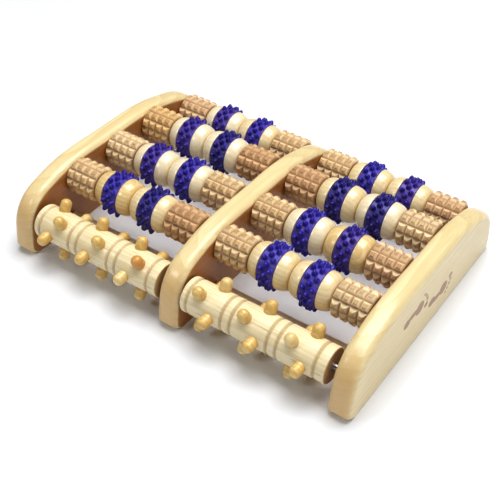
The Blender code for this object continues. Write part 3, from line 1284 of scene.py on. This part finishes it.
@dataclass
class KnurledRoller:
    """A short beech roller cut into pyramid teeth by crossing V-grooves."""

    length: float = 0.0264
    tip_r: float = 0.0142
    turned_root_r: float = 0.0112   # bottom of the grooves cut around the roller
    milled_root_r: float = 0.0109   # bottom of the grooves cut along it
    rows: int = 4
    teeth: int = 10
    flat: float = 0.29              # share of a tooth's half width that stays flat at its tip
    wear: float = 0.00012           # rounding of the worn edges
    worn_from_deg: float = 28.0     # edges sharper than this are worn
    wear_segments: int = 2
    wander: float = 0.00016         # how far hand-fed cuts wander

    def mesh(self, seed: int) -> bpy.types.Mesh:
        """Cut one roller.

        Args:
            seed: Chooses how the cuts wander.

        Returns:
            The roller about Z.
        """
        draw = Random(seed)
        shape = bmesh.new()
        pitch = self.length / self.rows
        half = pi / self.teeth
        # Where a turned groove's flank meets the milled groove's flank, as a share of the half width
        meet = self.flat + (1 - self.flat) * (self.tip_r - self.turned_root_r) / (
            self.tip_r - self.milled_root_r
        )
        cuts = [
            self._around(shape, self.length / 2 - pitch * i, half, meet, draw) for i in range(self.rows + 1)
        ]
        for row in range(self.rows):
            above, below = cuts[row], cuts[row + 1]
            middle = self.length / 2 - pitch * (row + 0.5)
            for tooth in range(self.teeth):
                tip = self._tip(shape, 2 * half * tooth, middle, half, pitch, draw)
                upper = [above[(3 * tooth + i) % len(above)] for i in range(4)]
                lower = [below[(3 * tooth + i) % len(below)] for i in range(4)]
                shape.faces.new(tip)
                shape.faces.new((upper[1], upper[2], tip[1], tip[0]))
                shape.faces.new((tip[3], tip[2], lower[2], lower[1]))
                shape.faces.new((upper[0], upper[1], tip[0], tip[3], lower[1], lower[0]))
                shape.faces.new((upper[2], upper[3], lower[3], lower[2], tip[2], tip[1]))
        self._close(shape, cuts[0], cuts[-1])
        mesh = mesh_of(shape, f"knurled_roller_{seed}")
        item = add_object("knurl_blank", mesh)
        worn = item.modifiers.new("worn_edges", "BEVEL")
        worn.limit_method = "ANGLE"
        worn.angle_limit = radians(self.worn_from_deg)
        worn.width = self.wear
        worn.segments = self.wear_segments
        return shade_smooth(evaluated_mesh(item, mesh.name), 38.0)

    def _around(
        self, shape: bmesh.types.BMesh, height: float, half: float, meet: float, draw: Random
    ) -> list[bmesh.types.BMVert]:
        """Add the bottom line of one groove turned around the roller.

        Args:
            shape: The shape.
            height: Where the groove lies along the roller.
            half: Half a tooth's angle.
            meet: Share of the half width where the flanks meet.
            draw: How the cut wanders.

        Returns:
            Three vertices for each tooth: its milled corner and the two ends of its turned edge.
        """
        at_end = abs(abs(height) - self.length / 2) < CLEARANCE
        line = []
        for tooth in range(self.teeth):
            for share, radius in (
                (-1.0, self.milled_root_r),
                (-meet, self.turned_root_r),
                (meet, self.turned_root_r),
            ):
                angle = (2 * tooth + share) * half
                radius += draw.uniform(-1, 1) * self.wander
                z = height + (0.0 if at_end else draw.uniform(-1, 1) * self.wander)
                line.append(shape.verts.new((radius * cos(angle), radius * sin(angle), z)))
        return line

    def _tip(
        self,
        shape: bmesh.types.BMesh,
        angle: float,
        height: float,
        half: float,
        pitch: float,
        draw: Random,
    ) -> list[bmesh.types.BMVert]:
        """Add the four corners of one tooth's blunt tip.

        Args:
            shape: The shape.
            angle: The tooth's place around the roller.
            height: The tooth's place along it.
            half: Half a tooth's angle.
            pitch: A tooth's length along the roller.
            draw: How the cut wanders.

        Returns:
            The corners: upper left, upper right, lower right, lower left.
        """
        radius = self.tip_r - draw.uniform(0, 1.5) * self.wander
        angle += draw.uniform(-1, 1) * self.wander / self.tip_r
        height += draw.uniform(-1, 1) * self.wander
        corners = []
        for across, along in ((-1, 1), (1, 1), (1, -1), (-1, -1)):
            a = angle + across * self.flat * half
            z = height + along * self.flat * pitch / 2
            corners.append(shape.verts.new((radius * cos(a), radius * sin(a), z)))
        return corners

    def _close(
        self,
        shape: bmesh.types.BMesh,
        top: list[bmesh.types.BMVert],
        bottom: list[bmesh.types.BMVert],
    ) -> None:
        """Add both end faces and the wall of the bore.

        Args:
            shape: The shape.
            top: The edge of the upper end face.
            bottom: The edge of the lower end face.
        """
        bores = []
        for rim, height in ((top, self.length / 2), (bottom, -self.length / 2)):
            bore = []
            for vertex in rim:
                scale = BORE_R / hypot(vertex.co.x, vertex.co.y)
                bore.append(shape.verts.new((vertex.co.x * scale, vertex.co.y * scale, height)))
            for i in range(len(rim)):
                j = (i + 1) % len(rim)
                shape.faces.new((rim[i], rim[j], bore[j], bore[i]))
            bores.append(bore)
        for i in range(len(top)):
            j = (i + 1) % len(top)
            shape.faces.new((bores[0][i], bores[0][j], bores[1][j], bores[1][i]))


@dataclass
class SpikedWheel:
    """A turned maple core with a domed bead at each end and a moulded rubber ring in its seat."""

    length: float = 0.0326
    rim_r: float = 0.0141
    end_r: float = 0.0088
    seat_r: float = 0.0120
    seat_half: float = 0.0069
    seat_lip: float = 0.0003        # cylindrical lip on each side of the seat
    lip_ease: float = 0.0001
    dome_steps: int = 14
    core_sides: int = 72
    ring_base_r: float = 0.0139
    ring_tip_r: float = 0.0175
    spike_r: float = 0.0158         # distance from the axis where a spike's foot radius is measured
    ring_half: float = 0.0066
    spikes: int = 12                # spikes in each of the ring's rows
    spike_rows: tuple[float, ...] = (-0.0036, 0.0, 0.0036)
    spike_foot: float = 0.0023      # radius of a spike's foot
    spike_round: float = 2.6        # 1 makes a sharp cone, and more a fuller, rounder stud
    ring_steps: int = 216
    band_steps: int = 40

    def core_mesh(self) -> bpy.types.Mesh:
        """Turn the core.

        Returns:
            The core about Z.
        """
        end = self.length / 2
        rise = end - self.seat_half - self.seat_lip
        dome: Outline = []
        for i in range(self.dome_steps + 1):
            angle = pi / 2 * i / self.dome_steps
            dome.append((self.end_r + (self.rim_r - self.end_r) * sin(angle), end - rise * (1 - cos(angle))))
        half = [*dome, (self.rim_r - self.lip_ease, self.seat_half), (self.seat_r, self.seat_half)]
        # The bead's end face is slightly dished around the bore
        half.insert(0, (BORE_R + 0.0004, end - 0.0002))
        half.insert(0, (BORE_R, end - 0.0006))
        outline = half + [(radius, -height) for radius, height in reversed(half)]
        return shade_smooth(lathe("wheel_core", outline, self.core_sides))

    def ring_mesh(self) -> bpy.types.Mesh:
        """Mould the ring, with its spikes raised from one closed band.

        Returns:
            The ring about Z.
        """
        inner = self.seat_r + CLEARANCE
        edge = [(inner, -self.ring_half), (self.ring_base_r - 0.0007, -self.ring_half)]
        edge += [(self.ring_base_r - 0.0002, -self.ring_half + 0.0002)]
        reach = self.ring_half - 0.0005
        band = [
            (self.ring_base_r, -reach + 2 * reach * i / self.band_steps)
            for i in range(self.band_steps + 1)
        ]
        outline = edge + band + [(radius, -height) for radius, height in reversed(edge)]
        shape = bmesh.new()
        loops = []
        for radius, height in outline:
            on_band = radius == self.ring_base_r
            loop = []
            for step in range(self.ring_steps):
                angle = 2 * pi * step / self.ring_steps
                r = radius + (self._rise(angle, height) if on_band else 0.0)
                loop.append(shape.verts.new((r * cos(angle), r * sin(angle), height)))
            loops.append(loop)
        for this, following in zip(loops, loops[1:] + loops[:1]):
            for i in range(self.ring_steps):
                j = (i + 1) % self.ring_steps
                shape.faces.new((this[i], this[j], following[j], following[i]))
        return shade_smooth(mesh_of(shape, "spiked_ring"), 60.0)

    def _rise(self, angle: float, height: float) -> float:
        """Return how far the ring's surface stands over its base.

        Args:
            angle: Place around the ring.
            height: Place across it.

        Returns:
            The rise in metres.
        """
        pitch = 2 * pi / self.spikes
        best = 1.0
        for row, place in enumerate(self.spike_rows):
            shifted = angle / pitch - 0.5 * (row % 2)
            around = (shifted - round(shifted)) * pitch * self.spike_r
            best = min(best, hypot(around, height - place) / self.spike_foot)
        return (self.ring_tip_r - self.ring_base_r) * (1.0 - best**self.spike_round)


@dataclass(frozen=True)
class Look:
    """Tones of one knurled roller and of the wheel beside it."""

    beech: BeechTone
    core: CoreTone
    dye: DyeTone


@dataclass
class RollerRows:
    """Four rods' worth of knurled rollers and spiked wheels, in both bays."""

    knurl: KnurledRoller = field(default_factory=KnurledRoller)
    wheel: SpikedWheel = field(default_factory=SpikedWheel)
    cuts: int = 4                   # different cuttings that the rollers are taken from
    spin_seed: int = 11
    looks: dict[str, Look] = field(
        default_factory=lambda: {
            "a_left_outer": Look(BeechTone.TAN, CoreTone.STRAW, DyeTone.BLUE),
            "a_left_inner": Look(BeechTone.DARK, CoreTone.CREAM, DyeTone.DEEP),
            "a_right_outer": Look(BeechTone.PALE, CoreTone.CREAM, DyeTone.BLUE),
            "a_right_inner": Look(BeechTone.TAN, CoreTone.CREAM, DyeTone.BLUE),
            "b_left_outer": Look(BeechTone.PALE, CoreTone.IVORY, DyeTone.VIOLET),
            "b_left_inner": Look(BeechTone.TAN, CoreTone.IVORY, DyeTone.BLUE),
            "b_right_outer": Look(BeechTone.ROSE, CoreTone.STRAW, DyeTone.VIOLET),
            "b_right_inner": Look(BeechTone.TAN, CoreTone.IVORY, DyeTone.BLUE),
            "c_left_outer": Look(BeechTone.GOLDEN, CoreTone.IVORY, DyeTone.VIOLET),
            "c_left_inner": Look(BeechTone.DARK, CoreTone.IVORY, DyeTone.DEEP),
            "c_right_outer": Look(BeechTone.PALE, CoreTone.IVORY, DyeTone.DEEP),
            "c_right_inner": Look(BeechTone.DARK, CoreTone.CREAM, DyeTone.DEEP),
            "d_left_outer": Look(BeechTone.ROSE, CoreTone.IVORY, DyeTone.VIOLET),
            "d_left_inner": Look(BeechTone.TAN, CoreTone.CREAM, DyeTone.BLUE),
            "d_right_outer": Look(BeechTone.ROSE, CoreTone.CREAM, DyeTone.VIOLET),
            "d_right_inner": Look(BeechTone.TAN, CoreTone.CREAM, DyeTone.BLUE),
        }
    )

    def build(self, centres: dict[str, Vector]) -> None:
        """Make every roller, core and ring.

        Args:
            centres: The middle of each turning body, by its name.
        """
        draw = Random(self.spin_seed)
        rollers = [self.knurl.mesh(seed) for seed in range(self.cuts)]
        core = self.wheel.core_mesh()
        ring = self.wheel.ring_mesh()
        for seed, (tag, look) in enumerate(self.looks.items()):
            roller = spun(rollers[seed % self.cuts], draw.uniform(0, 2 * pi))
            place = turned_place(centres[f"knurl_{tag}"])
            piece = add_object(f"knurled_roller_{tag}", roller, place)
            dress(piece, look.beech.finish().material(tag, seed))
            mount(piece, f"knurl_{tag}", "knurl_wood", f"knurl_{tag}")

            body = f"wheel_{tag}"
            spin = draw.uniform(0, 2 * pi)
            place = turned_place(centres[body])
            piece = add_object(f"bead_core_{tag}", spun(core, spin), place)
            dress(piece, look.core.finish().material(tag, CORE_SEEDS + seed))
            mount(piece, body, "wheel_wood", f"{body}_core")

            piece = add_object(f"spiked_ring_{tag}", spun(ring, spin), place)
            dress(piece, look.dye.finish().material(tag, seed))
            mount(piece, body, "ring_rubber", f"{body}_ring")


@dataclass
class PeggedDowel:
    """A dowel turned with grooved bands and collars, with round-nosed pegs glued into it."""

    side: str
    seed: int
    radius: float = 0.0130
    length: float = 0.1130
    pattern_x: float = -0.0017      # middle of the grooves and pegs, about the dowel's own middle
    segment_pitch: float = 0.0360
    band_half: float = 0.0036
    collar_x: float = 0.0499
    groove_half: float = 0.0015
    groove_depth: float = 0.0011
    end_round: float = 0.0010
    round_steps: int = 5
    sides: int = 96
    peg_r: float = 0.00425
    peg_out: float = 0.0090
    peg_nose: float = 0.0040        # height of the peg's rounded nose
    peg_root_r: float = 0.0095
    peg_offset: float = 0.0050
    peg_sides: int = 28
    nose_steps: int = 8
    pegs_around: int = 3
    amber_peg: int = 16             # number of the one amber peg, on the left dowel
    tones: tuple[PegTone, ...] = (PegTone.HONEY, PegTone.PALE, PegTone.AMBER)

    def build(self, centre: Vector) -> None:
        """Make the dowel and its pegs.

        Args:
            centre: The dowel's middle.
        """
        body = f"dowel_{self.side}"
        place = turned_place(centre)
        mesh = shade_smooth(lathe(body, self._outline(), self.sides))
        piece = add_object(f"turned_dowel_{self.side}", mesh, place)
        dress(piece, DOWEL_WOOD.material(body, self.seed))
        mount(piece, body, "dowel_wood", body)
        pegs = add_object(f"dowel_pegs_{self.side}", self._pegs_mesh(), place)
        dress(pegs, *(tone.finish().material(self.side, self.seed + i) for i, tone in enumerate(self.tones)))
        mount(pegs, body, "dowel_wood", body)

    def _outline(self) -> Outline:
        """Draw the dowel's outline: rounded ends, V-grooves with softened lips, and a bore.

        Returns:
            Its (radius, height) points.
        """
        end = self.length / 2
        half_pitch = self.segment_pitch / 2
        places = [half_pitch - self.band_half, half_pitch + self.band_half, self.collar_x]
        shoulder = self.radius - self.end_round
        outline = arc((shoulder, end - self.end_round), self.end_round, 90, 0, self.round_steps)
        for place in sorted(places + [-x for x in places], reverse=True):
            outline += self._groove(self.pattern_x + place)
        outline += arc((shoulder, self.end_round - end), self.end_round, 0, -90, self.round_steps)
        return outline + [(BORE_R, -end), (BORE_R, end)]

    def _groove(self, place: float) -> Outline:
        """Return the outline of one groove.

        Args:
            place: The groove's middle along the dowel.

        Returns:
            Its points from the upper lip to the lower one.
        """
        points = []
        for share, depth in ((1.25, 0.0), (1.0, 0.07), (0.8, 0.24), (0.15, 0.92), (0.0, 1.0)):
            points.append((self.radius - depth * self.groove_depth, place + share * self.groove_half))
        lower = [(radius, 2 * place - height) for radius, height in reversed(points[:-1])]
        return points + lower

    def _pegs(self) -> Iterator[tuple[float, float]]:
        """Place the pegs in two rings on each of the dowel's segments.

        Returns:
            For each peg: its place along the dowel and its angle about it, which rises from the rear.
        """
        facing = -1 if self.side == "left" else 1
        step = 360 / self.pegs_around
        for segment in (-1, 0, 1):
            for ring in (-1, 1):
                for turn in range(self.pegs_around):
                    angle = step * (turn + (0.5 if ring == facing else 0.0))
                    along = self.pattern_x + segment * self.segment_pitch + ring * self.peg_offset
                    yield along, radians(angle)

    def _tone(self, number: int) -> int:
        """Choose the tone of a peg: mostly honey, some pale, one amber.

        Args:
            number: The peg's number along its dowel.

        Returns:
            Its material slot.
        """
        if self.side == "left" and number == self.amber_peg:
            return self.tones.index(PegTone.AMBER)
        return self.tones.index(PegTone.PALE if number % 5 == 3 else PegTone.HONEY)

    def _pegs_mesh(self) -> bpy.types.Mesh:
        """Set all the pegs about the dowel's axis.

        Returns:
            The pegs, in the dowel's own space.
        """
        nose = self.radius + self.peg_out - self.peg_nose
        outline = [(0.0, self.peg_root_r), (self.peg_r, self.peg_root_r)]
        for radius, height in arc((0.0, 0.0), 1.0, 0, 90, self.nose_steps):
            outline.append((self.peg_r * radius, nose + self.peg_nose * height))
        peg = lathe("peg", outline, self.peg_sides, closed=False)
        shape = bmesh.new()
        for number, (along, angle) in enumerate(self._pegs()):
            known = set(shape.verts)
            faces = set(shape.faces)
            shape.from_mesh(peg)
            # The dowel's own Z lies along world X and its own X points down
            outward = Vector((-sin(angle), cos(angle), 0.0))
            turn = Vector((0, 0, 1)).rotation_difference(outward).to_matrix().to_4x4()
            bmesh.ops.transform(
                shape,
                matrix=Matrix.Translation((0, 0, along)) @ turn,
                verts=[vertex for vertex in shape.verts if vertex not in known],
            )
            for face in shape.faces:
                if face not in faces:
                    face.material_index = self._tone(number)
        return shade_smooth(mesh_of(shape, f"pegs_{self.side}"), 50.0)


# ---------------------------------------------------------------- studio


@dataclass(frozen=True)
class Softbox:
    """One soft studio lamp, aimed at the object."""

    name: str
    towards: tuple[float, float, float]     # direction from the object to the lamp
    distance: float
    size: float
    watts: float
    colour: str = "#FFFFFF"

    def build(self, target: Vector) -> None:
        """Hang the lamp.

        Args:
            target: The point that it is aimed at.
        """
        lamp = bpy.data.lights.new(self.name, "AREA")
        lamp.shape = "SQUARE"
        lamp.size = self.size
        lamp.energy = self.watts
        lamp.color = linear_rgb(self.colour)[:3]
        direction = Vector(self.towards).normalized()
        turn = direction.to_track_quat("Z", "Y").to_matrix().to_4x4()
        add_object(self.name, lamp, Matrix.Translation(target + direction * self.distance) @ turn)


@dataclass
class Studio:
    """Camera, lamps, pale world and floor."""

    camera_place: tuple[float, float, float] = (0.3018, -0.43765, 0.4678)
    camera_turn_deg: tuple[float, float, float] = (48.616, -0.3414, 34.975)
    lens: float = 67.323
    floor_half: float = 4.0
    world_light: float = 0.05
    gamma: float = 0.85             # below 1 deepens the shade, as a product picture's contrast does
    target: tuple[float, float, float] = (0.0, 0.0, 0.03)
    lamps: tuple[Softbox, ...] = (
        Softbox("overhead_softbox", (0.04, 0.20, 1.0), 1.4, 1.1, 26.5),
        Softbox("front_softbox", (-0.43, -0.66, 0.62), 1.4, 0.30, 3.4),
        Softbox("side_softbox", (0.92, -0.25, 0.36), 1.6, 0.9, 5.5),
    )

    def build(self) -> None:
        """Set up the camera, the lamps, the world and the floor."""
        camera = bpy.data.cameras.new("studio_camera")
        camera.lens = self.lens
        camera.clip_start = 0.01
        turn = Euler([radians(a) for a in self.camera_turn_deg]).to_matrix().to_4x4()
        item = add_object("studio_camera", camera, Matrix.Translation(self.camera_place) @ turn)
        scene = bpy.context.scene
        scene.camera = item
        scene.view_settings.view_transform = "Standard"
        scene.view_settings.look = "None"
        scene.view_settings.gamma = self.gamma
        for lamp in self.lamps:
            lamp.build(Vector(self.target))
        self._world(scene)
        self._floor()

    def _world(self, scene: bpy.types.Scene) -> None:
        """Light the scene evenly from a white room.

        Args:
            scene: The scene.
        """
        world = bpy.data.worlds.new("white_room")
        world.use_nodes = True
        world.node_tree.nodes.clear()
        tree = world.node_tree
        light = add_node(
            tree,
            "ShaderNodeBackground",
            {"Color": (1.0, 1.0, 1.0, 1.0), "Strength": self.world_light},
        )
        add_node(tree, "ShaderNodeOutputWorld", links={"Surface": light.outputs["Background"]})
        scene.world = world

    def _floor(self) -> None:
        """Lay the floor."""
        shape = bmesh.new()
        bmesh.ops.create_grid(shape, x_segments=4, y_segments=4, size=self.floor_half)
        floor = add_object("studio_floor", mesh_of(shape, "studio_floor"))
        dress(floor, BackdropFinish().material())


# ---------------------------------------------------------------- the whole object


def corners(box: tuple[Vector, Vector]) -> list[list[float]]:
    """Return a box's two corners as plain lists."""
    return [list(corner) for corner in box]


def main() -> None:
    """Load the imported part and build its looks."""
    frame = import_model()
    centres = {joint["child"]: Vector(joint["pos_m"]) for joint in frame["joints"]}
    Studio().build()
    rods = Rods()
    rods.dress()
    bores = rods.bores()
    ArchedBoard("left", BayFaces.HIGH, seed=1).build(bores)
    ArchedBoard("centre", BayFaces.BOTH, seed=2).build(bores)
    ArchedBoard("right", BayFaces.LOW, seed=3, mark=FootMark()).build(bores)
    for bore in bores:
        bpy.data.objects.remove(bore, do_unlink=True)
    Rail("left", seed=4).build()
    Rail("right", seed=5).build()
    RollerRows().build(centres)
    PeggedDowel("left", seed=6).build(centres["dowel_left"])
    PeggedDowel("right", seed=7).build(centres["dowel_right"])


if __name__ == "__main__":
    logging.basicConfig(level=logging.INFO, format="%(name)s: %(message)s")
    main()
